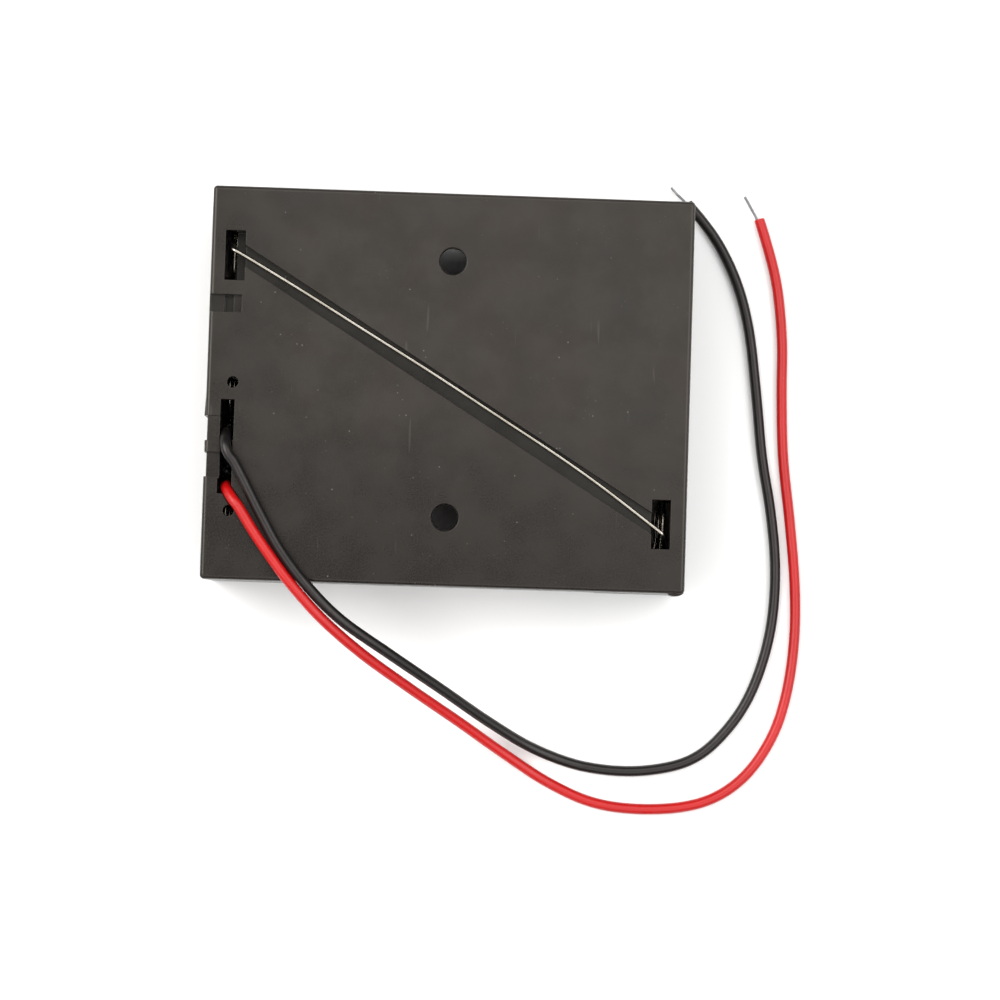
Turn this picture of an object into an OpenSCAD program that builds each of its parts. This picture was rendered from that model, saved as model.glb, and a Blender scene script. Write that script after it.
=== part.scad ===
// Three-cell holder for AA cells side by side, with a screw-down back and two bare-ended leads.
// It lies on the rim of its walls, with the open side down and the mounting back up.
// X runs along the cells, Y across the bays, Z up. The origin is the centre of the rim plane.

/* [Housing] */
// Length of the housing along the cells
body_l = 58; // [57.6:0.2:60]
// Width of the housing across the three bays
body_w = 47.3; // [47:0.1:49]
// Height from the rim of the walls to the mounting back
body_h = 15; // [14.6:0.2:17]
// Thickness of the mounting back
back_t = 1.5; // [1.4:0.1:1.8]
// Thickness of each end wall
end_t = 1.7; // [1.5:0.1:1.8]
// Radius of the outer edges and corners
edge_r = 0.5; // [0.3:0.1:0.6]
// Spacing of the cells
pitch = 15.4; // [15.3:0.05:15.6]
// Clear width of each bay
bay_w = 14.5; // [14.4:0.1:14.6]
// Depth by which the side walls are cut down in the middle
side_cut = 5.5; // [4.5:0.5:7]
// Depth by which the two partitions are cut down in the middle
rib_cut = 7; // [5:0.5:8]

/* [Screw holes] */
// Distance between the two screw holes
screw_gap = 30.8; // [28:0.2:32]
// Diameter of each screw hole
screw_d = 3.2; // [3:0.1:3.6]
// Diameter of the countersink on the cell side
sink_d = 5.8; // [5:0.2:6.4]
// Depth of the countersink
sink_h = 0.7; // [0.4:0.1:0.8]

/* [Wire groove] */
// Width of the diagonal groove in the back
groove_w = 2.2; // [1.8:0.1:2.6]
// Depth of the diagonal groove
groove_h = 0.8; // [0.7:0.1:1]

/* [Contacts] */
// Diameter of the spring wire
wire_d = 0.45; // [0.4:0.01:0.46]
// Radius of the seated turns, to the wire's centre
seat_r = 4.6; // [4.4:0.1:4.7]
// Radius of the last turn of a negative spring
tip_r = 2.4; // [2:0.1:2.8]
// Pitch of the working turns of a negative spring
work_pitch = 1.6; // [1.2:0.1:1.8]
// Wire segments in one turn
turn_seg = 14; // [12:1:20]

/* [Leads] */
// Outside diameter of each lead
lead_d = 1.3; // [1.2:0.05:1.3]
// Diameter of the tinned conductor
core_d = 0.32; // [0.28:0.02:0.44]

/* [Hidden] */
$fn = 48;

xi = body_l / 2 - end_t;          // inner face of an end wall
zf = body_h - back_t;             // floor of the bays
zc = zf - bay_w / 2;              // axis of the cells
yi = pitch + bay_w / 2;           // inner face of a side wall
lip_t = 1.05;                     // thickness of the lips that hold the seated turns
lip_x = xi - 1.25;                // face of the lips towards the end wall
lip_gap = 3.9;                    // half the gap between two lips
rl = lead_d / 2;
rw = wire_d / 2;
seat_x = xi - rw - 0.035;         // plane of the first seated turn
seat_pitch = 0.46;
eps = 0.01;

// Contact windows through the back: [low x, low y, high x, high y]
win_pos = [-xi, 12.25, -24.9, 18.25];
win_neg = [24.8, -18.35, xi - 0.25, -12.45];
// Lead windows through the back
win_black = [-27.2, -6.95, -25.55, -2.1];
win_red = [-27.1, -13.4, -25.6, -8.4];

// Ends of the groove's centreline
groove_a = [-24.95, 15.25];
groove_b = [24.85, -15.35];

// Lead routes, from the inner end of the insulation to its far end
black_route = [
    [-26.5, -5.8, 10.2], [-26.5, -5.8, 11.6], [-26.5, -5.85, 13.1], [-26.5, -6.5, 14.6],
    [-26.4, -7.7, 15.5], [-26, -8.7, 15.7], [-25, -10.1, 15.7], [-21.8, -16, 15.7],
    [-19.4, -20, 15.7], [-16.2, -24, 15.7], [-12, -28, 14.5], [-6, -32, 11.7],
    [0.2, -36, 7.9], [6.3, -40, 4.2], [12, -43.2, 1.6], [18, -45.2, 0.65],
    [24, -45.7, 0.65], [29, -45, 0.65], [31.9, -43.9, 0.65], [34.35, -42.05, 0.65], [37.55, -38.05, 0.65],
    [39.75, -33.2, 0.65], [41.2, -27, 0.65], [41.5, -20, 0.65], [40.75, -13, 0.65],
    [39.45, -6, 0.65], [38.5, 2, 0.65], [37.35, 10, 0.65], [35.6, 16, 0.65],
    [32.8, 21.3, 0.65], [29.2, 25.6, 0.65]];
red_route = [
    [-26.4, -12.2, 11], [-26.4, -12.35, 12.2], [-26.35, -12.5, 13.4], [-26, -13.1, 14.7],
    [-25.3, -14.1, 15.5], [-24.5, -15.1, 15.7], [-22.6, -18, 15.7], [-20.4, -21, 15.7],
    [-18, -24, 15.7], [-14.2, -28, 14.7], [-9.4, -32, 12.3], [-3.6, -36, 8.8],
    [2.5, -40, 5], [8, -43.7, 2.2], [14, -47.4, 0.7], [20, -49.8, 0.65],
    [27, -50.3, 0.65], [33.45, -49.2, 0.65], [38.2, -46.1, 0.65], [41.6, -41.05, 0.65],
    [43.3, -35.6, 0.65], [44.1, -29, 0.65], [44, -22, 0.65], [43.15, -14, 0.65],
    [42.1, -6, 0.65], [41.7, 2, 0.65], [41.55, 9, 0.65], [40.55, 16.5, 0.65],
    [38.3, 23.9, 0.65]];

// The link wire's run along the groove, from the positive end to the negative end
link_route = [
    [-26.4, 16, 14.5], [-24.9, 15.2, 14.55], [-18, 11.3, 14.5], [-10, 6.6, 14.46],
    [-2, 1.9, 14.45], [6, -3, 14.45], [13, -7.3, 14.46], [18.6, -11, 14.5],
    [24.8, -15.5, 14.55], [26.2, -16.6, 14.5]];

// ---------- curves and sweeps ----------

function unit(v) = v / norm(v);

// A smooth curve through the points of p, with a point about every step
function blend4(a, b, c, d, t) = 0.5 * (2 * b + (c - a) * t
    + (2 * a - 5 * b + 4 * c - d) * t * t + (3 * b - a - 3 * c + d) * t * t * t);
function smooth(p, step) = let (e = len(p) - 1) concat(
    [for (i = [0:e - 1]) let (n = max(1, round(norm(p[i + 1] - p[i]) / step)))
        for (k = [0:n - 1])
            blend4(p[max(i - 1, 0)], p[i], p[i + 1], p[min(i + 2, e)], k / n)],
    [p[e]]);

// Directions along a path, with the first or the last one given where it matters
function along(p, first, last) = let (e = len(p) - 1) [for (i = [0:e])
    i == 0 ? (is_undef(first) ? unit(p[1] - p[0]) : first)
    : i == e ? (is_undef(last) ? unit(p[e] - p[e - 1]) : last)
    : unit(unit(p[i + 1] - p[i]) + unit(p[i] - p[i - 1]))];

// A side vector carried along the path without twist
function carried(t, n0) = [for (
    i = 0, n = unit(n0 - (n0 * t[0]) * t[0]);
    i < len(t);
    n = i + 1 < len(t) ? unit(n - (n * t[i + 1]) * t[i + 1]) : n, i = i + 1) n];

// A round wire or tube of radius r along the path p
module sweep(p, r, n0 = [0, 0, 1], first = undef, last = undef, sides = 8) {
    t = along(p, first, last);
    n = carried(t, n0);
    e = len(p) - 1;
    polyhedron(
        points = [for (i = [0:e], k = [0:sides - 1])
            let (a = 360 * (k + 0.5) / sides)
            p[i] + r * (cos(a) * n[i] + sin(a) * cross(t[i], n[i]))],
        faces = concat(
            [[for (k = [0:sides - 1]) k]],
            [[for (k = [sides - 1:-1:0]) e * sides + k]],
            [for (i = [0:e - 1], k = [0:sides - 1]) let (
                a = i * sides + k, b = i * sides + (k + 1) % sides,
                c = b + sides, d = a + sides)
                each [[a, d, c], [a, c, b]]]),
        convexity = 10);
}

// ---------- contact coils ----------
// A coil's axis runs along X at the centre of a bay. Its angle is 0 towards +Y and 90 towards
// the back. It starts in the seat by the end wall, at angle a0, makes its seated turns,
// steps inwards between the lips on the rim side, and goes on towards the cell.
// side is -1 at the low-X end and 1 at the high-X end, and spin is the sense of the turns.

// Turns made before the step, from the start angle to the rim side one full turn later
function seated(a0, spin) = 1 + (spin > 0 ? (270 - a0) : (a0 + 90)) / 360;

function coil_r(u, s, turns, r1, r2) =
    u < s - 0.14 ? seat_r
    : u < s + 0.14 ? seat_r + (r1 - seat_r) * (u - s + 0.14) / 0.28
    : r1 + (r2 - r1) * min(1, (u - s - 0.14) / (turns - 0.9 - s - 0.14));
// The working pitch comes in over the first 0.6 turn after the step
function eased(w) = w < 0.6 ? w * w / 1.2 : w - 0.3;
function coil_x(u, s, turns, step) =
    seat_pitch * min(u, s - 0.14)
    + (u > s - 0.14 ? 0.1 * min(1, (u - s + 0.14) / 0.28) : 0)
    + (u > s + 0.14 ? step * eased(min(u, turns - 0.9) - s - 0.14) : 0)
    + (u > turns - 0.9 ? 0.5 * (u - turns + 0.9) : 0);
function coil(side, yc, a0, spin, turns, r1, r2, step, x0) = let (
    s = seated(a0, spin), n = round(turns * turn_seg))
    [for (i = [0:n]) let (
        u = turns * i / n, a = a0 + spin * 360 * u, r = coil_r(u, s, turns, r1, r2))
        [side * (seat_x - x0 - coil_x(u, s, turns, step)),
            yc + r * cos(a), zc + r * sin(a)]];

// Negative springs are tall cones and positive contacts are flat spirals
function negative_coil(side, yc, a0, spin, x0 = 0.2) =
    coil(side, yc, a0, spin, seated(a0, spin) + 4.5, 3.45, tip_r, work_pitch, x0);
function positive_coil(side, yc, a0, spin, x0 = 0.2) =
    coil(side, yc, a0, spin, seated(a0, spin) + 2.1, 3.3, 1.15, 0.75, x0);

function backwards(p) = [for (i = [len(p) - 1:-1:0]) p[i]];

// ---------- housing ----------

module round_rect(l, w, r) {
    square([l - 2 * r, w], center = true);
    square([l, w - 2 * r], center = true);
    for (x = [-1, 1], y = [-1, 1])
        translate([x * (l / 2 - r), y * (w / 2 - r)]) circle(r);
}

// The outer block: upright corners and the edges of the back are rounded alike
module block() {
    r = edge_r;
    linear_extrude(body_h - r) round_rect(body_l, body_w, r);
    translate([0, 0, body_h / 2])
        linear_extrude(body_h / 2) square([body_l - 2 * r, body_w - 2 * r], center = true);
    for (y = [-1, 1])
        translate([0, y * (body_w / 2 - r), body_h - r])
            rotate([0, 90, 0]) cylinder(r = r, h = body_l - 2 * r, center = true);
    for (x = [-1, 1])
        translate([x * (body_l / 2 - r), 0, body_h - r])
            rotate([90, 0, 0]) cylinder(r = r, h = body_w - 2 * r, center = true);
    for (x = [-1, 1], y = [-1, 1])
        translate([x * (body_l / 2 - r), y * (body_w / 2 - r), body_h - r]) sphere(r);
}

// A notch in the rim, with round inner corners, for cutting down a wall
module wall_cut(half, depth, r) {
    rotate([90, 0, 0]) linear_extrude(3, center = true) {
        translate([-half, -1]) square([2 * half, depth - r + 1]);
        translate([-half + r, -1]) square([2 * half - 2 * r, depth + 1]);
        for (x = [-1, 1]) translate([x * (half - r), depth - r]) circle(r);
    }
}

// The lips of one bay end, which keep the seated turns against the end wall
module lips(side, yc) {
    difference() {
        translate([side > 0 ? lip_x - lip_t : -lip_x, yc - bay_w / 2 - 0.2, 1.6])
            cube([lip_t, bay_w + 0.4, zf - 1.6 + 0.2]);
        translate([side * lip_x - 2, yc - lip_gap, -1])
            cube([4, 2 * lip_gap, 1 + zc + seat_r]);
        // lead-in chamfers at the rim
        for (y = [-1, 1])
            translate([side * lip_x, yc + y * lip_gap, 1.6])
                rotate([45, 0, 0]) cube([4, 1.6, 1.6], center = true);
    }
}

module plus_mark(x, y) {
    translate([x, y, zf]) { cube([3.6, 0.8, 0.5], center = true); cube([0.8, 3.6, 0.5], center = true); }
}
module minus_mark(x, y) {
    translate([x, y, zf]) cube([0.8, 3.6, 0.5], center = true);
}

// A ramp through the back's outer face, from depth h at distance a of p to nothing at b
module ramp(p, angle, a, b, h) {
    translate([p[0], p[1], body_h]) rotate([0, 0, angle]) rotate([90, 0, 0])
        linear_extrude(lead_d + 0.14, center = true)
            polygon([[a - 1, 0.5], [a - 1, -h], [a, -h], [b, 0], [b, 0.5]]);
}

module window(w, z0) {
    translate([w[0], w[1], z0]) cube([w[2] - w[0], w[3] - w[1], body_h + 1 - z0]);
}

module housing() color("#46423d") {
    ge = groove_b - groove_a;
    difference() {
        union() {
            difference() {
                block();
                for (i = [-1:1])
                    translate([-xi, i * pitch - bay_w / 2, -1])
                        cube([2 * xi, bay_w, zf + 1]);
                // side walls and partitions are cut down in the middle
                for (y = [-1, 1]) {
                    translate([0, y * body_w / 2, 0]) wall_cut(19, side_cut, 3);
                    translate([0, y * pitch / 2, 0]) wall_cut(19, rib_cut, 3);
                    translate([-xi, y * pitch / 2 - 1, -1]) cube([2 * xi, 2, 2.6]);
                }
            }
            for (s = [-1, 1], i = [-1:1]) lips(s, i * pitch);
            // raised polarity marks on the floor of each bay
            for (i = [-1, 1]) { plus_mark(-20, i * pitch); minus_mark(16, i * pitch); }
            plus_mark(20, 0);
            minus_mark(-16, 0);
            // swelling beside the lead windows
            translate([-body_l / 2, 0, 7]) linear_extrude(body_h - edge_r - 7)
                polygon([[0.5, -1.4], [0, -1.4], [-0.12, -4.1], [0.5, -4.1]]);
            // gate stub at one corner
            intersection() {
                translate([body_l / 2 - 1.13, -body_w / 2 + 1.3, 11.5])
                    cylinder(r = 1.6, h = body_h - edge_r - 11.5);
                translate([body_l / 2 - 4, -body_w / 2 - 1, 0]) cube([3.9, 1.5, body_h]);
            }
        }
        // diagonal groove for the link wire, run out into both contact windows
        translate([groove_a[0], groove_a[1], body_h - groove_h])
            rotate([0, 0, atan2(ge[1], ge[0])])
                translate([-0.6, -groove_w / 2, 0]) cube([norm(ge) + 1.2, groove_w, 2]);
        // contact windows: the positive one keeps a sunk ledge over the lips
        window([win_pos[0], win_pos[1], -lip_x, win_pos[3]], zf - 1);
        window([-lip_x - eps, win_pos[1], win_pos[2], win_pos[3]], zf - 0.9);
        window(win_neg, zc + seat_r - 0.6);
        // lead windows, run down through the lips beside them
        window(win_black, 7.4);
        window(win_red, 7.4);
        window([-27.3, win_red[1], win_red[2], -11.6], zf - 1);
        // ramps that ease the leads over the edges of their windows
        ramp([-26.5, -5.8], 274, 1.15, 2.9, 0.95);
        ramp([-26.4, -12.5], 304, 1.2, 3.1, 1.2);
        // pin holes behind the two terminals
        for (y = [0, -pitch])
            translate([-25.85, y, zf - 4]) cylinder(d = 1.35, h = 8);
        // spare lead notch beside the first partition
        translate([-body_l / 2 - 1, 8.4, body_h - 0.45]) cube([body_l / 2 - 25.1 + 1, 2.1, 2]);
        translate([-27.2, 8.4, body_h - 1.1]) cube([1.1, 2.1, 4]);
        // lead channels at the edge, either side of the tab
        translate([-body_l / 2 - 1, -7.05, 7]) cube([1.3, 2.95, 10]);
        translate([-body_l / 2 - 1, -11.4, 7]) cube([1.3, 2.95, 10]);
        translate([-body_l / 2 - 1, -7.05, body_h - 0.15]) cube([3, 2.95, 2]);
        translate([-body_l / 2 - 1, -11.4, body_h - 0.35]) cube([3, 2.95, 2]);
        // slit beside the end wall for the bridge between two bays
        translate([xi - 0.9, pitch / 2 - 1, -1]) cube([0.9, 2, 1 + zc + seat_r + 0.4]);
        // screw holes, countersunk on the cell side
        for (y = [-1, 1]) translate([0, y * screw_gap / 2, 0]) {
            translate([0, 0, zf - 1]) cylinder(d = screw_d, h = back_t + 2);
            translate([0, 0, body_h - 0.12]) cylinder(d1 = screw_d, d2 = screw_d + 0.44, h = 0.22);
            translate([0, 0, zf - 0.5])
                cylinder(d1 = sink_d + (sink_d - screw_d) / sink_h * 0.5, d2 = screw_d,
                    h = sink_h + 0.5);
        }
    }
}

// ---------- contacts ----------

// One wire: positive spiral of the first bay, the run along the groove, negative spring of the third
module diagonal_link_spring() color("#c8c4b8") {
    pos = positive_coil(-1, pitch, 30, -1);
    neg = negative_coil(1, -pitch, 150, 1);
    run = smooth(concat(
        [pos[1], pos[0], pos[0] + [0.1, -1.3, 2.25], pos[0] + [0.3, -2.6, 4.5]],
        link_route,
        [neg[0] + [-0.45, 2.2, 4.2], neg[0] + [-0.15, 1.2, 2.1], neg[0], neg[1]]), 2.2);
    m = len(run) - 1;
    sweep(concat(backwards([for (i = [1:len(pos) - 1]) pos[i]]),
        [for (i = [1:m - 1]) run[i]],
        [for (i = [1:len(neg) - 1]) neg[i]]), rw, [1, 0, 0.2]);
}

// One wire: negative spring of the first bay, bridge along the end wall, positive spiral of the second
module bridge_spring() color("#c8c4b8") {
    neg = negative_coil(1, pitch, 90, -1, 0);
    pos = positive_coil(1, 0, 90, 1, 0);
    sweep(concat(backwards(neg),
        [for (k = [1:5]) neg[0] + (pos[0] - neg[0]) * k / 6],
        pos), rw, [1, 0, 0]);
}

// A terminal's tail stands up beside its coil and leans away from it, to y = lean
function tail(c, lean) = [
    c + [-0.1, 2 * lean, 2.4], c + [-0.1, lean, 1.2], c + [-0.04, 0.3 * lean, 0.5]];
function black_tail() = let (c = negative_coil(-1, 0, 180, 1)) concat(tail(c[0], -0.3), c);
function red_tail() = let (c = positive_coil(-1, -pitch, 0, -1)) concat(tail(c[0], 0.3), c);

// Negative spring of the second bay, whose tail takes the black lead
module negative_terminal_spring() color("#c8c4b8") sweep(black_tail(), rw, [1, 0, 0]);

// Positive spiral of the third bay, whose tail takes the red lead
module positive_terminal_spring() color("#c8c4b8") sweep(red_tail(), rw, [1, 0, 0]);

// ---------- leads ----------

function lead_rings(p) = smooth(p, 4.9);
function lead_end(p) = let (q = lead_rings(p), e = len(q) - 1) [q[e], unit(q[e] - q[e - 1])];
function lead_start(p) = let (q = lead_rings(p)) [q[0], unit(q[1] - q[0])];

module black_lead() color("#262524") sweep(lead_rings(black_route), rl, [1, 0, 0]);
module red_lead() color("#d9322e") sweep(lead_rings(red_route), rl, [1, 0, 0]);

// Stripped and tinned conductor at the far end of each lead
module black_bare_end() color("#c9c9cc") {
    e = lead_end(black_route);
    b = e[0] + 0.15 * unit(cross([0, 0, 1], e[1]));
    sweep([b, b + 0.5 * e[1], b + [-1.1, 1.1, -0.1], b + [-2, 2.1, -0.2]], core_d / 2,
        [0, 0, 1], e[1]);
}
module red_bare_end() color("#c9c9cc") {
    e = lead_end(red_route);
    b = e[0] + 0.35 * unit(cross([0, 0, 1], e[1]));
    sweep([b, b + 0.4 * e[1], b + [-0.75, 1.5, -0.1], b + [-1.6, 3, -0.2]], core_d / 2,
        [0, 0, 1], e[1]);
}

// Stripped conductor at the inner end of each lead, down to the terminal's tail
module black_inner_core() color("#c9c9cc") {
    e = lead_start(black_route);
    sweep([e[0], e[0] - 0.4 * e[1], [-26.5, -5.3, 8.9], [-26.5, -5.05, 7.9]], core_d / 2,
        [1, 0, 0], -e[1]);
}
module red_inner_core() color("#c9c9cc") {
    e = lead_start(red_route);
    sweep([e[0], e[0] - 0.4 * e[1], [-26.45, -11.2, 9.2], [-26.5, -10.35, 7.9]], core_d / 2,
        [1, 0, 0], -e[1]);
}

// Solder that joins a conductor to a terminal's tail, and closes round both
module solder(p) {
    translate(p) sphere(0.54);
    translate(p + [0, 0, 0.42]) sphere(0.4);
    translate(p - [0, 0, 0.42]) sphere(0.42);
}
module black_solder_joint() color("#b4b4b8") solder([-26.7, -5.02, 8.3]);
module red_solder_joint() color("#b4b4b8") solder([-26.7, -10.38, 8.3]);

housing();
diagonal_link_spring();
bridge_spring();
negative_terminal_spring();
positive_terminal_spring();
black_lead();
red_lead();
black_bare_end();
red_bare_end();
black_inner_core();
red_inner_core();
black_solder_joint();
red_solder_joint();
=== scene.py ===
import math
import random

import bmesh
import bpy
from mathutils import Euler, Matrix, Vector


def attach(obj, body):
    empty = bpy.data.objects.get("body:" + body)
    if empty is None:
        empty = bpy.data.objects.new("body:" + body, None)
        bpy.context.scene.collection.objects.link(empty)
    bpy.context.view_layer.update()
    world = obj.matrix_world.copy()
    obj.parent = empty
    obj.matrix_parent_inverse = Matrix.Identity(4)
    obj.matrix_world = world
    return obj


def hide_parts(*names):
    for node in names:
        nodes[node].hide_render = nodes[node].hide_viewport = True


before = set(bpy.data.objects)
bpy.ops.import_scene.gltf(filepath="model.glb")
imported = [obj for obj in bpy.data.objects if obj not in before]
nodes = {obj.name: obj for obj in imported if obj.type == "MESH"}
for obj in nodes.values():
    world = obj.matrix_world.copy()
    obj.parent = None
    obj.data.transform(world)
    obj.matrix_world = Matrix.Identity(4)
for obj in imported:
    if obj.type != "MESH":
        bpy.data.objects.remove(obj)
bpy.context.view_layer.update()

MM = 0.001
scene = bpy.context.scene
scene.view_settings.view_transform = "Standard"
scene.view_settings.look = "None"
scene.view_settings.exposure = 0.0
scene.view_settings.gamma = 1.0


# ------------------------------------------------------------------ camera
cam_data = bpy.data.cameras.new("view_camera")
cam_data.lens = 100.26
cam_data.sensor_width = 36.0
cam_data.clip_start = 0.01
cam_data.clip_end = 20.0
cam_data.dof.use_dof = False
camera = bpy.data.objects.new("view_camera", cam_data)
camera.location = (-0.273 * MM, -28.215 * MM, 347.819 * MM)
camera.rotation_euler = Euler([math.radians(a) for a in (2.562, -1.2579, 1.821)], "XYZ")
scene.collection.objects.link(camera)
scene.camera = camera
bpy.context.view_layer.update()


# ------------------------------------------------------------------ curves
def link(o):
    scene.collection.objects.link(o)
    return o


def carried(line, side):
    """Direction and two side vectors at each point of a line, carried along it without twist."""
    out, n = [], Vector(side)
    for i in range(len(line)):
        t = (line[min(i + 1, len(line) - 1)] - line[max(i - 1, 0)]).normalized()
        n = (n - n.dot(t) * t).normalized()
        out.append((t, n.copy(), t.cross(n)))
    return out


def sweep_into(bm, line, radius, sides, side=(0.31, 0.22, 0.93), chamfer=0.12):
    """Adds a round tube along the line (mm) to bm, with cut ends whose rims are just broken."""
    line = [Vector(q) for q in line]
    fr = carried(line, side)
    c = min(chamfer * radius, 0.4 * (line[1] - line[0]).length, 0.4 * (line[-1] - line[-2]).length)

    def ring(q, r, f):
        return [
            bm.verts.new((q + r * (math.cos(2 * math.pi * (k + 0.5) / sides) * f[1]
                                   + math.sin(2 * math.pi * (k + 0.5) / sides) * f[2])) * MM)
            for k in range(sides)
        ]

    rings = [ring(line[0], radius - c, fr[0]), ring(line[0] + c * fr[0][0], radius, fr[0])]
    rings += [ring(line[i], radius, fr[i]) for i in range(1, len(line) - 1)]
    rings += [ring(line[-1] - c * fr[-1][0], radius, fr[-1]), ring(line[-1], radius - c, fr[-1])]
    for a, b in zip(rings, rings[1:]):
        for k in range(sides):
            f = bm.faces.new((a[k], a[(k + 1) % sides], b[(k + 1) % sides], b[k]))
            f.smooth = True
    bm.faces.new(list(reversed(rings[0])))
    bm.faces.new(rings[-1])


def tube_piece(name, lines, radius, sides=16, **more):
    """One mesh of one or more round tubes. Each line is a list of points in mm."""
    bm = bmesh.new()
    for line in lines:
        sweep_into(bm, line, radius, sides, **more)
    bmesh.ops.recalc_face_normals(bm, faces=bm.faces)
    me = bpy.data.meshes.new(name)
    bm.to_mesh(me)
    bm.free()
    return link(bpy.data.objects.new(name, me))


def blend4(a, b, c, d, t):
    return 0.5 * (
        2 * b
        + (c - a) * t
        + (2 * a - 5 * b + 4 * c - d) * t * t
        + (3 * b - a - 3 * c + d) * t * t * t
    )


def smooth(pts, step):
    p = [Vector(q) for q in pts]
    e = len(p) - 1
    out = []
    for i in range(e):
        n = max(1, round((p[i + 1] - p[i]).length / step))
        for k in range(n):
            out.append(
                blend4(p[max(i - 1, 0)], p[i], p[i + 1], p[min(i + 2, e)], k / n)
            )
    return out + [p[e]]


# ------------------------------------------------------------------ leads
LEAD_D = 1.3
CORE_D = 0.32

black_route = [
    (-26.5, -5.8, 10.2), (-26.5, -5.8, 11.6), (-26.5, -5.85, 13.1), (-26.5, -6.5, 14.6),
    (-26.4, -7.7, 15.5), (-26, -8.7, 15.7), (-25, -10.1, 15.7), (-21.8, -16, 15.7),
    (-19.4, -20, 15.7), (-16.2, -24, 15.7), (-12, -28, 14.5), (-6, -32, 11.7),
    (0.2, -36, 7.9), (6.3, -40, 4.2), (12, -43.2, 1.6), (18, -45.2, 0.65),
    (24, -45.7, 0.65), (29, -45, 0.65), (31.9, -43.9, 0.65), (34.35, -42.05, 0.65), (37.55, -38.05, 0.65),
    (39.75, -33.2, 0.65), (41.2, -27, 0.65), (41.5, -20, 0.65), (40.75, -13, 0.65),
    (39.45, -6, 0.65), (38.5, 2, 0.65), (37.35, 10, 0.65), (35.6, 16, 0.65),
    (32.8, 21.3, 0.65), (29.2, 25.6, 0.65)]
red_route = [
    (-26.4, -12.2, 11), (-26.4, -12.35, 12.2), (-26.35, -12.5, 13.4), (-26, -13.1, 14.7),
    (-25.3, -14.1, 15.5), (-24.5, -15.1, 15.7), (-22.6, -18, 15.7), (-20.4, -21, 15.7),
    (-18, -24, 15.7), (-14.2, -28, 14.7), (-9.4, -32, 12.3), (-3.6, -36, 8.8),
    (2.5, -40, 5), (8, -43.7, 2.2), (14, -47.4, 0.7), (20, -49.8, 0.65),
    (27, -50.3, 0.65), (33.45, -49.2, 0.65), (38.2, -46.1, 0.65), (41.6, -41.05, 0.65),
    (43.3, -35.6, 0.65), (44.1, -29, 0.65), (44, -22, 0.65), (43.15, -14, 0.65),
    (42.1, -6, 0.65), (41.7, 2, 0.65), (41.55, 9, 0.65), (40.55, 16.5, 0.65),
    (38.3, 23.9, 0.65)]


def strand_bundle(name, pts, radius, lay_mm, flare=0.0, count=7):
    """A stripped conductor: fine strands twisted round a straight one, along pts (mm)."""
    line = smooth(pts, 0.07)
    rs = radius / 3.0
    run = [0.0]
    for i in range(1, len(line)):
        run.append(run[-1] + (line[i] - line[i - 1]).length)
    total = run[-1]
    fr = carried(line, (0.31, 0.22, 0.93))
    rng = random.Random(name)
    lines = []
    for k in range(count):
        stop = total - rng.uniform(0.0, 0.12)
        off = rng.uniform(-0.1, 0.1)
        own = []
        for i, q in enumerate(line):
            if run[i] > stop:
                break
            a = 2 * math.pi * (run[i] / lay_mm + (k + off) / (count - 1))
            wide = 1.0 + flare * max(0.0, run[i] / total - 0.6) ** 2 * (0.6 + 0.8 * ((k * 37) % 7) / 7)
            r = 0.0 if k == count - 1 else 2 * rs * wide
            own.append(q + r * (math.cos(a) * fr[i][1] + math.sin(a) * fr[i][2]))
        lines.append(own)
    return tube_piece(name, lines, rs * 1.08, 8, chamfer=0.3)


def lead_end(route):
    q = smooth(route, 4.9)
    return q[-1], (q[-1] - q[-2]).normalized()


def lead_start(route):
    q = smooth(route, 4.9)
    return q[0], (q[1] - q[0]).normalized()


Z = Vector((0, 0, 1))


def laid(route):
    """The lead's middle line, eased where it lies on the surface, and nowhere lower than that."""
    q = [Vector((v.x, v.y, max(v.z, LEAD_D / 2))) for v in smooth(route, 0.35)]
    flat = [v.z < LEAD_D / 2 + 0.01 and i < len(q) - 9 for i, v in enumerate(q)]
    for _ in range(16):
        q = [
            v + 0.25 * (q[i - 1] + q[i + 1] - 2 * v) if flat[i] and flat[i - 1] else v
            for i, v in enumerate(q)
        ]
    return q


black_line, red_line = laid(black_route), laid(red_route)
black_tube = tube_piece("black_insulation", [black_line], LEAD_D / 2, 24)
red_tube = tube_piece("red_insulation", [red_line], LEAD_D / 2, 24)

p, d = lead_end(black_route)
b = p + 0.15 * Z.cross(d).normalized()
black_tip = strand_bundle(
    "black_strands", [b - 0.3 * d, b, b + 0.5 * d, b + Vector((-1.1, 1.1, -0.1)), b + Vector((-2, 2.1, -0.2))],
    CORE_D / 2, 3.2, 0.5)
p, d = lead_end(red_route)
b = p + 0.35 * Z.cross(d).normalized()
red_tip = strand_bundle(
    "red_strands", [b - 0.3 * d, b, b + 0.4 * d, b + Vector((-0.75, 1.5, -0.1)), b + Vector((-1.6, 3, -0.2))],
    CORE_D / 2, 3.4, 0.6)
p, d = lead_start(black_route)
black_root = strand_bundle(
    "black_root_strands", [p + 0.3 * d, p, p - 0.4 * d, (-26.5, -5.3, 8.9), (-26.5, -5.05, 7.9)], CORE_D / 2, 3.2)
p, d = lead_start(red_route)
red_root = strand_bundle(
    "red_root_strands", [p + 0.3 * d, p, p - 0.4 * d, (-26.45, -11.2, 9.2), (-26.5, -10.35, 7.9)], CORE_D / 2, 3.2)

for piece, node, slot in (
    (black_tube, "black_lead", "black_insulation"),
    (red_tube, "red_lead", "red_insulation"),
    (black_tip, "black_bare_end", "tinned_conductor"),
    (red_tip, "red_bare_end", "tinned_conductor"),
    (black_root, "black_inner_core", "tinned_conductor"),
    (red_root, "red_inner_core", "tinned_conductor"),
):
    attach(piece, "root")
    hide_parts(node)


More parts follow.
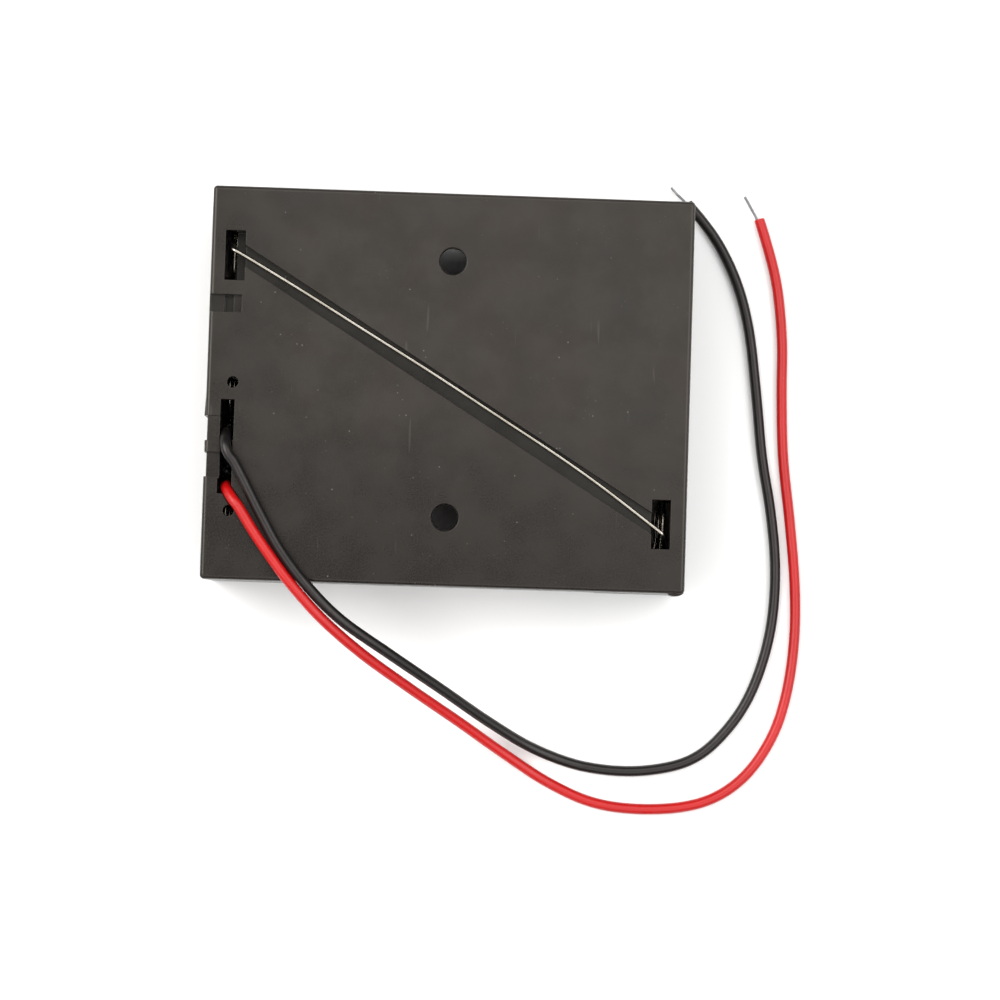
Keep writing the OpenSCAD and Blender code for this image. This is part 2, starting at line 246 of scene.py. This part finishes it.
# ------------------------------------------------------------------ contacts
WIRE_R = 0.225
SEAT_R = 4.6
TIP_R = 2.4
WORK_PITCH = 1.6
TURN_SEG = 14
XI = 58 / 2 - 1.7
ZC = 15 - 1.5 - 14.5 / 2
PITCH = 15.4
SEAT_X = XI - WIRE_R - 0.035
SEAT_PITCH = 0.46
FINE = 44


def seated(a0, spin):
    return 1 + ((270 - a0) if spin > 0 else (a0 + 90)) / 360


def coil_r(u, s, turns, r1, r2):
    if u < s - 0.14:
        return SEAT_R
    if u < s + 0.14:
        return SEAT_R + (r1 - SEAT_R) * (u - s + 0.14) / 0.28
    return r1 + (r2 - r1) * min(1, (u - s - 0.14) / (turns - 0.9 - s - 0.14))


def eased(w):
    return w * w / 1.2 if w < 0.6 else w - 0.3


def coil_x(u, s, turns, step):
    x = SEAT_PITCH * min(u, s - 0.14)
    if u > s - 0.14:
        x += 0.1 * min(1, (u - s + 0.14) / 0.28)
    if u > s + 0.14:
        x += step * eased(min(u, turns - 0.9) - s - 0.14)
    if u > turns - 0.9:
        x += 0.5 * (u - turns + 0.9)
    return x


def coil(side, yc, a0, spin, turns, r1, r2, step, x0):
    """The frame's first two points, and the fine path from the second on."""
    s = seated(a0, spin)
    n = round(turns * TURN_SEG)

    def at(u, soft=0.0):
        a = math.radians(a0 + spin * 360 * u)
        us = [min(max(u + soft * k / 4, 0), turns) for k in range(-4, 5)]
        r = sum(coil_r(v, s, turns, r1, r2) for v in us) / 9
        x = sum(coil_x(v, s, turns, step) for v in us) / 9
        return Vector((side * (SEAT_X - x0 - x), yc + r * math.cos(a), ZC + r * math.sin(a)))

    u1 = turns / n
    m = round((turns - u1) * FINE)
    fine = [at(u1 + (turns - u1) * i / m, 0.05 if 0.06 < i / m < 0.96 else 0.0) for i in range(m + 1)]
    return [at(0), at(u1)], fine


def negative_coil(side, yc, a0, spin, x0=0.2):
    return coil(side, yc, a0, spin, seated(a0, spin) + 4.5, 3.45, TIP_R, WORK_PITCH, x0)


def positive_coil(side, yc, a0, spin, x0=0.2):
    return coil(side, yc, a0, spin, seated(a0, spin) + 2.1, 3.3, 1.15, 0.75, x0)


link_route = [
    (-26.4, 16, 14.5), (-24.9, 15.2, 14.55), (-18, 11.3, 14.5), (-10, 6.6, 14.46),
    (-2, 1.9, 14.45), (6, -3, 14.45), (13, -7.3, 14.46), (18.6, -11, 14.5),
    (24.8, -15.5, 14.55), (26.2, -16.6, 14.5)]


def fine_run(pts, step=0.35):
    """The smooth run through pts, without its first and last stretches' outer ends."""
    p = [Vector(q) for q in pts]
    e = len(p) - 1
    out = []
    for i in range(1, e - 1):
        n = max(2, round((p[i + 1] - p[i]).length / step))
        for k in range(n):
            out.append(blend4(p[i - 1], p[i], p[i + 1], p[min(i + 2, e)], k / n))
    return out + [p[e - 1]]


# one wire: positive spiral, the run along the groove, negative spring
pc, pf = positive_coil(-1, PITCH, 30, -1)
nc, nf = negative_coil(1, -PITCH, 150, 1)
run = fine_run(
    [pc[1], pc[0], pc[0] + Vector((0.1, -1.3, 2.25)), pc[0] + Vector((0.3, -2.6, 4.5))]
    + link_route
    + [nc[0] + Vector((-0.45, 2.2, 4.2)), nc[0] + Vector((-0.15, 1.2, 2.1)), nc[0], nc[1]])
wire_link = tube_piece("diagonal_link_wire", [list(reversed(pf))[:-1] + run + nf[1:]], WIRE_R, 14)

# one wire: negative spring, bridge along the end wall, positive spiral
nc, nf = negative_coil(1, PITCH, 90, -1, 0)
pc, pf = positive_coil(1, 0, 90, 1, 0)
bridge = [nc[0].lerp(pc[0], k / 24) for k in range(25)]
wire_bridge = tube_piece("bridge_wire", [list(reversed(nf)) + bridge + pf], WIRE_R, 14)


def tail(c, lean):
    return [c + Vector((-0.1, 2 * lean, 2.4)), c + Vector((-0.1, lean, 1.2)), c + Vector((-0.04, 0.3 * lean, 0.5)), c]


nc, nf = negative_coil(-1, 0, 180, 1)
wire_negative = tube_piece("negative_terminal_wire", [smooth(tail(nc[0], -0.3), 0.3) + nf], WIRE_R, 14)
pc, pf = positive_coil(-1, -PITCH, 0, -1)
wire_positive = tube_piece("positive_terminal_wire", [smooth(tail(pc[0], 0.3), 0.3) + pf], WIRE_R, 14)

for piece, node in (
    (wire_link, "diagonal_link_spring"),
    (wire_bridge, "bridge_spring"),
    (wire_negative, "negative_terminal_spring"),
    (wire_positive, "positive_terminal_spring"),
):
    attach(piece, "root")
    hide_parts(node)


# ------------------------------------------------------------------ materials
class Nodes:
    def __init__(self, name):
        self.mat = bpy.data.materials.new(name)
        self.mat.use_nodes = True
        self.t = self.mat.node_tree
        self.t.nodes.clear()
        self.out = self.t.nodes.new("ShaderNodeOutputMaterial")
        self.bsdf = self.t.nodes.new("ShaderNodeBsdfPrincipled")
        self.t.links.new(self.bsdf.outputs[0], self.out.inputs[0])
        self.geo = self.t.nodes.new("ShaderNodeTexCoord").outputs["Object"]

    def new(self, kind, **props):
        n = self.t.nodes.new(kind)
        for k, v in props.items():
            setattr(n, k, v)
        return n

    def link(self, a, b):
        self.t.links.new(a, b)

    def mapped(self, scale=(1, 1, 1), rot=(0, 0, 0), loc=(0, 0, 0)):
        m = self.new("ShaderNodeMapping")
        m.inputs["Scale"].default_value = scale
        m.inputs["Rotation"].default_value = rot
        m.inputs["Location"].default_value = loc
        self.link(self.geo, m.inputs["Vector"])
        return m.outputs[0]

    def noise(self, scale, detail=2.0, rough=0.5, vec=None, distortion=0.0):
        n = self.new("ShaderNodeTexNoise")
        n.inputs["Scale"].default_value = scale
        n.inputs["Detail"].default_value = detail
        n.inputs["Roughness"].default_value = rough
        n.inputs["Distortion"].default_value = distortion
        self.link(self.geo if vec is None else vec, n.inputs["Vector"])
        return n.outputs["Fac"]

    def voronoi(self, scale, feature="F1", vec=None, randomness=1.0):
        n = self.new("ShaderNodeTexVoronoi", feature=feature)
        n.inputs["Scale"].default_value = scale
        n.inputs["Randomness"].default_value = randomness
        self.link(self.geo if vec is None else vec, n.inputs["Vector"])
        return n.outputs["Distance"]

    def ramp(self, fac, lo, hi, a=0.0, b=1.0):
        n = self.new("ShaderNodeMapRange")
        n.interpolation_type = "SMOOTHSTEP"
        n.inputs["From Min"].default_value = lo
        n.inputs["From Max"].default_value = hi
        n.inputs["To Min"].default_value = a
        n.inputs["To Max"].default_value = b
        self.link(fac, n.inputs["Value"])
        return n.outputs[0]

    def math(self, op, a, b=None, c=None):
        n = self.new("ShaderNodeMath", operation=op)
        for i, v in enumerate((a, b, c)):
            if v is None:
                continue
            if isinstance(v, (int, float)):
                n.inputs[i].default_value = v
            else:
                self.link(v, n.inputs[i])
        return n.outputs[0]

    def mix(self, fac, a, b):
        n = self.new("ShaderNodeMix", data_type="RGBA", clamp_factor=True)
        for i, v in ((0, fac), (6, a), (7, b)):
            if isinstance(v, (int, float)):
                n.inputs[i].default_value = v
            elif isinstance(v, tuple):
                n.inputs[i].default_value = v if len(v) == 4 else (*v, 1.0)
            else:
                self.link(v, n.inputs[i])
        return n.outputs[2]

    def bump(self, height, distance, strength=1.0, normal=None):
        n = self.new("ShaderNodeBump")
        n.inputs["Strength"].default_value = strength
        n.inputs["Distance"].default_value = distance
        self.link(height, n.inputs["Height"])
        if normal is not None:
            self.link(normal, n.inputs["Normal"])
        return n.outputs[0]

    def rounded(self, radius):
        n = self.new("ShaderNodeBevel", samples=6)
        n.inputs["Radius"].default_value = radius
        return n.outputs[0]

    def set(self, **values):
        for k, v in values.items():
            sock = self.bsdf.inputs[k.replace("_", " ")]
            if isinstance(v, (int, float)):
                sock.default_value = v
            elif isinstance(v, tuple):
                sock.default_value = v if len(v) == 4 else (*v, 1.0)
            else:
                self.link(v, sock)


def srgb(r, g, b):
    def f(c):
        c /= 255
        return c / 12.92 if c <= 0.04045 else ((c + 0.055) / 1.055) ** 2.4
    return (f(r), f(g), f(b))


# the next pair of colours is painted shade: the near-black painted over the recesses, groove floor, holes and inner
# faces
RECESS_SHADE_A, RECESS_SHADE_B = srgb(11, 9, 9), srgb(14, 12, 12)
# the next pair of colours is painted shade for the darker bottom and left of the outer faces; the pair after it is the
# plate's own colour
FALLOFF_SHADE_A, FALLOFF_SHADE_B = srgb(22, 18, 18), srgb(25, 21, 20)
PLATE_A, PLATE_B = srgb(32, 28, 26), srgb(35, 30, 28)
WARM, COOL = srgb(40, 32, 31), srgb(34, 34, 34)
CLOUD = srgb(41, 37, 35)
PALE = srgb(108, 105, 100)


def housing_material():
    m = Nodes("moulded_charcoal_plastic")
    xyz = m.new("ShaderNodeSeparateXYZ")
    m.link(m.geo, xyz.inputs[0])
    x, y, z = xyz.outputs
    # broad flow mottling and finer cloudiness of the pigment
    broad = m.noise(48.0, 3.0, 0.5)
    middle = m.noise(210.0, 3.0, 0.55)
    cloudy = m.noise(640.0, 3.0, 0.6)
    grain = m.noise(5200.0, 2.0, 0.5)
    tint = m.noise(120.0, 2.0, 0.5, m.mapped(loc=(0.3, 0.1, 0.2)))
    # painted shade: the recesses (everything below the top face and inside the outer walls) are painted near-black,
    # and the outer faces are painted darker towards the bottom (-Y) and the left (-X) as a painted light falloff
    outer = m.math("MAXIMUM", m.ramp(z, 0.0144, 0.0149), m.math(
        "MAXIMUM", m.ramp(m.math("ABSOLUTE", x), 0.0286, 0.0289), m.ramp(m.math("ABSOLUTE", y), 0.0232, 0.0235)))
    wander = m.math("MULTIPLY", m.math("SUBTRACT", broad, 0.5), 0.012)
    # painted light falloff mask: 0 towards the bottom and left, 1 towards the top and right; it also adds a little
    # roughness where it is high
    painted_light_falloff = m.math("MULTIPLY", m.ramp(m.math("ADD", y, wander), -0.0255, 0.004), m.ramp(
        m.math("ADD", x, wander), -0.034, -0.013, 0.45, 1.0))
    # painted shade colour for the recesses
    new = m.mix(m.ramp(middle, 0.3, 0.7), RECESS_SHADE_A, RECESS_SHADE_B)
    falloff_shade = m.mix(m.ramp(middle, 0.3, 0.7), FALLOFF_SHADE_A, FALLOFF_SHADE_B)
    plate_tone = m.mix(m.ramp(broad, 0.32, 0.68), PLATE_A, PLATE_B)
    plate_tone = m.mix(m.ramp(tint, 0.5, 0.66, 0.0, 0.45), plate_tone, WARM)
    plate_tone = m.mix(m.ramp(tint, 0.5, 0.36, 0.0, 0.45), plate_tone, COOL)
    plate_tone = m.mix(m.ramp(middle, 0.42, 0.64, 0.0, 0.36), plate_tone, CLOUD)
    plate_tone = m.mix(m.ramp(cloudy, 0.4, 0.75, 0.0, 0.4), plate_tone, CLOUD)
    # painted shade: the recesses take the near-black shade colour, and the outer faces blend from the shaded colour to
    # the plate colour along the painted light falloff
    base = m.mix(outer, new, m.mix(painted_light_falloff, falloff_shade, plate_tone))
    base = m.mix(m.math("MULTIPLY", m.ramp(grain, 0.5, 0.85, 0.0, 0.2), outer), base, CLOUD)
    # a few fine handling scuffs
    scuff_a = m.noise(1500.0, 1.0, 0.4, m.mapped((1.0, 0.12, 1.0), (0, 0, math.radians(31))))
    scuff_b = m.noise(1300.0, 1.0, 0.4, m.mapped((1.0, 0.07, 1.0)))
    scuffs = m.math("MAXIMUM", m.ramp(scuff_a, 0.785, 0.84), m.ramp(scuff_b, 0.79, 0.85))
    scuffs = m.math("MULTIPLY", scuffs, outer)
    base = m.mix(m.math("MULTIPLY", scuffs, 0.12), base, PALE)
    # dust in small specks
    dots = m.math("MULTIPLY", m.ramp(m.voronoi(900.0), 0.11, 0.05), m.ramp(m.noise(260.0, 2.0, 0.5), 0.57, 0.63))
    fine_dots = m.math("MULTIPLY", m.ramp(m.voronoi(1900.0), 0.12, 0.06), m.ramp(m.noise(330.0, 2.0, 0.5), 0.58, 0.66))
    dust = m.math("MAXIMUM", m.math("MULTIPLY", dots, 0.5), m.math("MULTIPLY", fine_dots, 0.35))
    base = m.mix(dust, base, PALE)
    rough = m.ramp(middle, 0.3, 0.7, 0.27, 0.32)
    rough = m.math("ADD", rough, m.math("MULTIPLY", m.math("MULTIPLY", painted_light_falloff, outer), 0.06))
    rough = m.math("ADD", rough, m.math("MULTIPLY", m.ramp(grain, 0.3, 0.7, -0.04, 0.05), m.ramp(outer, 0.0, 1.0, 0.3, 1.0)))
    rough = m.math("ADD", rough, m.math("MULTIPLY", dust, 0.3))
    height = m.math("ADD", m.math("MULTIPLY", grain, 0.5), m.math("MULTIPLY", cloudy, 0.9))
    height = m.math("SUBTRACT", height, m.math("MULTIPLY", scuffs, 0.35))
    height = m.math("ADD", height, dust)
    n = m.bump(height, 0.00001, 0.7, m.rounded(0.00014))
    m.set(Base_Color=base, Roughness=rough, Normal=n, IOR=1.46, Specular_Tint=(1.0, 0.955, 0.86))
    return m.mat


def wire_material():
    m = Nodes("nickel_plated_wire")
    fine = m.noise(2600.0, 3.0, 0.6)
    broad = m.noise(240.0, 2.0, 0.5)
    base = m.mix(m.ramp(broad, 0.35, 0.65), srgb(176, 169, 156), srgb(198, 192, 181))
    stain = m.ramp(m.noise(700.0, 3.0, 0.65), 0.60, 0.74)
    base = m.mix(m.math("MULTIPLY", stain, 0.55), base, srgb(132, 118, 94))
    rough = m.math("ADD", m.ramp(fine, 0.3, 0.7, 0.2, 0.3), m.math("MULTIPLY", stain, 0.12))
    m.set(Base_Color=base, Metallic=1.0, Roughness=rough, Normal=m.bump(fine, 0.000004, 0.6))
    return m.mat


def pvc_material(name, dark, light, rough_lo, rough_hi, dust_colour, ior, gloss):
    m = Nodes(name)
    broad = m.noise(90.0, 2.0, 0.5)
    fine = m.noise(3800.0, 3.0, 0.6)
    base = m.mix(m.ramp(broad, 0.3, 0.7), dark, light)
    specks = m.math("MULTIPLY", m.ramp(m.voronoi(1100.0), 0.12, 0.06), m.ramp(m.noise(300.0), 0.58, 0.66))
    base = m.mix(m.math("MULTIPLY", specks, 0.35), base, dust_colour)
    rough = m.math("ADD", m.ramp(fine, 0.3, 0.7, rough_lo, rough_hi), m.math("MULTIPLY", specks, 0.2))
    m.set(Base_Color=base, Roughness=rough, Normal=m.bump(fine, 0.000012, 0.55), IOR=ior,
          Specular_Tint=gloss)
    return m.mat


def tin_material(name, lo, hi, r0, r1):
    m = Nodes(name)
    fine = m.noise(4200.0, 3.0, 0.6)
    broad = m.noise(900.0, 2.0, 0.5)
    base = m.mix(m.ramp(broad, 0.3, 0.7), lo, hi)
    m.set(Base_Color=base, Metallic=1.0, Roughness=m.ramp(fine, 0.3, 0.7, r0, r1),
          Normal=m.bump(fine, 0.000008, 0.6))
    return m.mat


def give(o, mat):
    o.data.materials.clear()
    o.data.materials.append(mat)


plastic = housing_material()
wire = wire_material()
black_pvc = pvc_material("black_soft_pvc", srgb(14, 12, 12), srgb(18, 16, 16), 0.30, 0.42, srgb(84, 82, 78),
                         1.47, (1.0, 0.93, 0.92))
red_pvc = pvc_material("red_soft_pvc", srgb(175, 5, 6), srgb(184, 8, 9), 0.34, 0.44, srgb(210, 110, 100),
                       1.5, (1.0, 1.0, 1.0))
tin = tin_material("tinned_strands", srgb(128, 128, 130), srgb(164, 164, 166), 0.26, 0.42)
solder = tin_material("dull_solder", srgb(150, 150, 153), srgb(182, 182, 186), 0.3, 0.5)

give(nodes["housing"], plastic)
for o in (wire_link, wire_bridge, wire_negative, wire_positive):
    give(o, wire)
give(black_tube, black_pvc)
give(red_tube, red_pvc)
for o in (black_tip, red_tip, black_root, red_root):
    give(o, tin)
for n in ("black_solder_joint", "red_solder_joint"):
    give(nodes[n], solder)


# ------------------------------------------------------------------ floor and light
DIM, LEFT, RIGHT, DOME, KEY, FILL = 0.05, 1.0, 1.5, 3.0, 1.4, 0.5
bpy.ops.mesh.primitive_plane_add(size=6.0, location=(0, 0, -0.00004))
floor = bpy.context.object
floor.name = "floor"
f = Nodes("pale_floor")
f.set(Base_Color=f.mix(f.noise(3.0), (0.93, 0.93, 0.93), (0.95, 0.95, 0.95)), Roughness=0.9)
floor.data.materials.append(f.mat)

# A soft ring-shaped dome: brightest from about 45 degrees up, dim near the horizon except at the two
# sides, dim overhead, toward the -Y side, where the person with the camera stands, and low at the +Y side
world = bpy.data.worlds.new("studio")
scene.world = world
world.use_nodes = True
wt = world.node_tree
back = wt.nodes["Background"]
tex = wt.nodes.new("ShaderNodeTexCoord")
sep = wt.nodes.new("ShaderNodeSeparateXYZ")
wt.links.new(tex.outputs["Generated"], sep.inputs[0])


def world_ramp(fac, lo, hi, a, b):
    n = wt.nodes.new("ShaderNodeMapRange")
    n.interpolation_type = "SMOOTHSTEP"
    for k, v in (("From Min", lo), ("From Max", hi), ("To Min", a), ("To Max", b)):
        n.inputs[k].default_value = v
    wt.links.new(fac, n.inputs["Value"])
    return n.outputs[0]


def world_math(op, a, b=None):
    n = wt.nodes.new("ShaderNodeMath")
    n.operation = op
    for i, v in enumerate((a, b)):
        if v is None:
            continue
        if isinstance(v, (int, float)):
            n.inputs[i].default_value = v
        else:
            wt.links.new(v, n.inputs[i])
    return n.outputs[0]


sky_x, sky_y, sky_z = sep.outputs
ring = world_math("MULTIPLY", world_ramp(sky_z, 0.60, 0.76, 0.0, DOME), world_ramp(sky_z, 0.89, 0.97, 1.0, 0.12))
sides = world_math("ADD", world_ramp(sky_x, 0.3, 0.85, 0.0, RIGHT), world_ramp(sky_x, -0.3, -0.85, 0.0, LEFT))
sides = world_math("ADD", world_math("MULTIPLY", sides, world_ramp(sky_z, 0.28, 0.46, 0.0, 1.0)), DIM)
low = world_math("MULTIPLY", world_ramp(sky_z, 0.60, 0.76, 1.0, 0.0), sides)
dome = world_math("MULTIPLY", world_math("ADD", ring, low), world_ramp(sky_y, -0.7, 0.1, 0.6, 1.0))
dome = world_math("MULTIPLY", dome, world_ramp(sky_y, 0.5, 0.78, 1.0, 0.3))
seen = wt.nodes.new("ShaderNodeLightPath").outputs["Is Camera Ray"]
pick = world_math("ADD", world_math("MULTIPLY", dome, world_math("SUBTRACT", 1.0, seen)), seen)
back.inputs[0].default_value = (1.0, 0.995, 0.985, 1.0)
wt.links.new(pick, back.inputs[1])


def sun(name, towards, power, angle, colour=(1, 1, 1)):
    li = bpy.data.lights.new(name, "SUN")
    li.energy = power
    li.angle = math.radians(angle)
    li.color = colour
    o = link(bpy.data.objects.new(name, li))
    o.rotation_euler = Vector(towards).to_track_quat("Z", "Y").to_euler()
    return o


sun("key_top_left", (-0.85, 0.4, 0.9), KEY, 40, (1.0, 0.985, 0.96))
sun("fill_right", (0.62, -0.1, 1.3), FILL, 45, (0.97, 0.985, 1.0))

bpy.context.view_layer.update()
